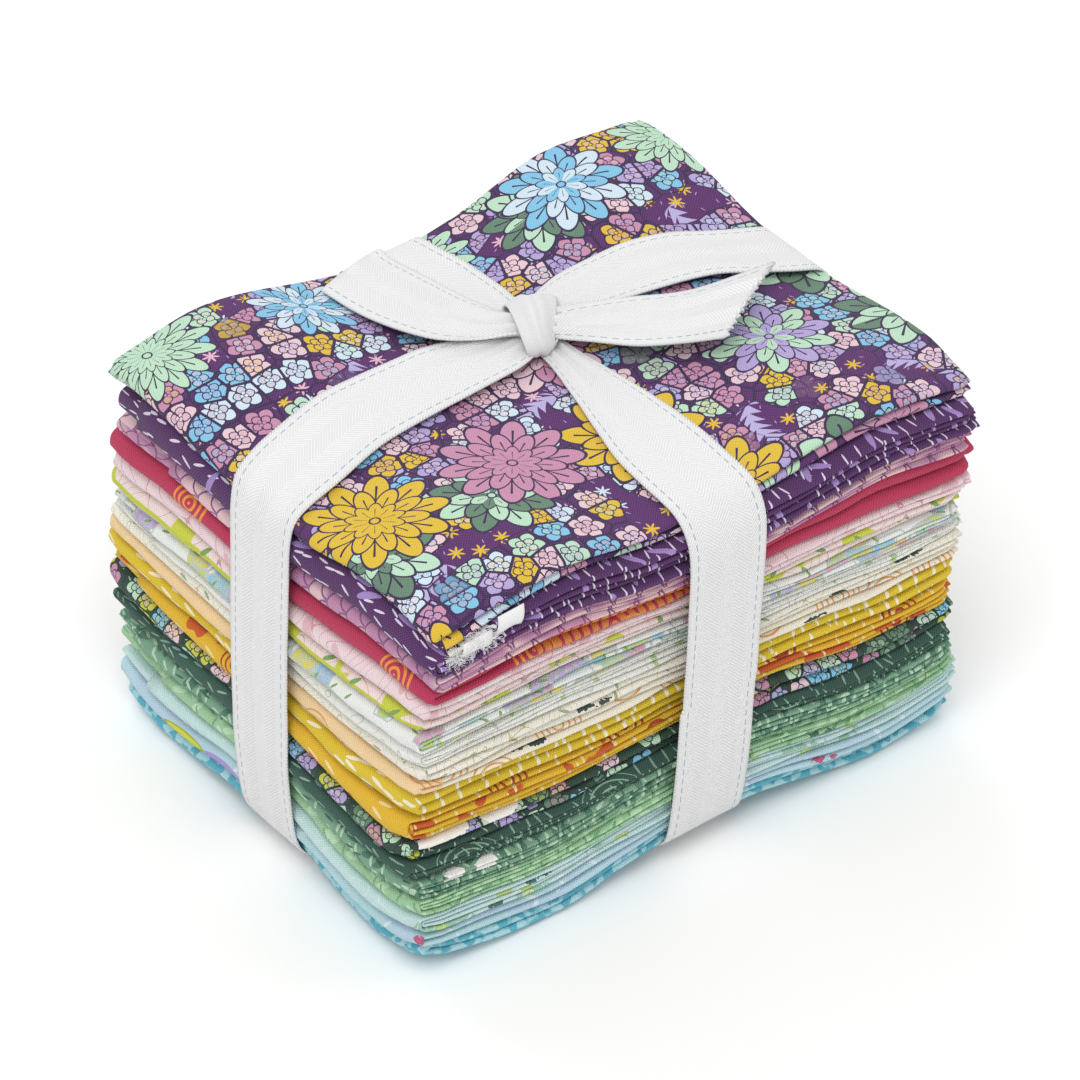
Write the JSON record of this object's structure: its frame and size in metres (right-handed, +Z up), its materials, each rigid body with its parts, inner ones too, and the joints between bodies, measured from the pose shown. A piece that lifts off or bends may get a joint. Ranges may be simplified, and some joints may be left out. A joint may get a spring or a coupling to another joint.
{
  "type": "fat quarter bundle",
  "caption": "Bundle of folded quilting cotton pieces in a neat block, tied both ways with a white ribbon knotted on top.",
  "frame": {"origin": "middle of the bounding box on the surface that the bundle rests on", "axes": "+X along the front to the right, from the wide folds to the narrow folds; +Y to the back; +Z up"},
  "size_m": [0.1608, 0.1342, 0.108],
  "materials": {
    "purple_floral": "matt printed cotton",
    "purple_dashes": "matt printed cotton",
    "mauve_scales": "matt printed cotton",
    "crimson": "matt printed cotton",
    "pale_blush": "matt printed cotton",
    "blush_and_lime": "matt printed cotton",
    "pastel_floral": "matt printed cotton",
    "white": "matt printed cotton",
    "cream_lines": "matt printed cotton",
    "peach": "matt printed cotton",
    "mustard_dashes": "matt printed cotton",
    "golden_orange": "matt printed cotton",
    "green_floral": "matt printed cotton",
    "dark_green": "matt printed cotton",
    "sage_leaves": "matt printed cotton",
    "mint": "matt printed cotton",
    "pale_blue_leaves": "matt printed cotton",
    "blue_lilac": "matt printed cotton",
    "aqua": "matt printed cotton",
    "white_twill_tape": "matt woven tape"
  },
  "bodies": {
    "root": {"fat_quarter_01": "purple_floral", "fat_quarter_02": "purple_dashes", "fat_quarter_03": "mauve_scales", "fat_quarter_04": "crimson", "fat_quarter_05": "pale_blush", "fat_quarter_06": "blush_and_lime", "fat_quarter_07": "pastel_floral", "fat_quarter_08": "white", "fat_quarter_09": "cream_lines", "fat_quarter_10": "peach", "fat_quarter_11": "mustard_dashes", "fat_quarter_12": "golden_orange", "fat_quarter_13": "green_floral", "fat_quarter_14": "dark_green", "fat_quarter_15": "sage_leaves", "fat_quarter_16": "mint", "fat_quarter_17": "pale_blue_leaves", "fat_quarter_18": "blue_lilac", "fat_quarter_19": "aqua", "ribbon": "white_twill_tape"}
  },
  "joints": []
}
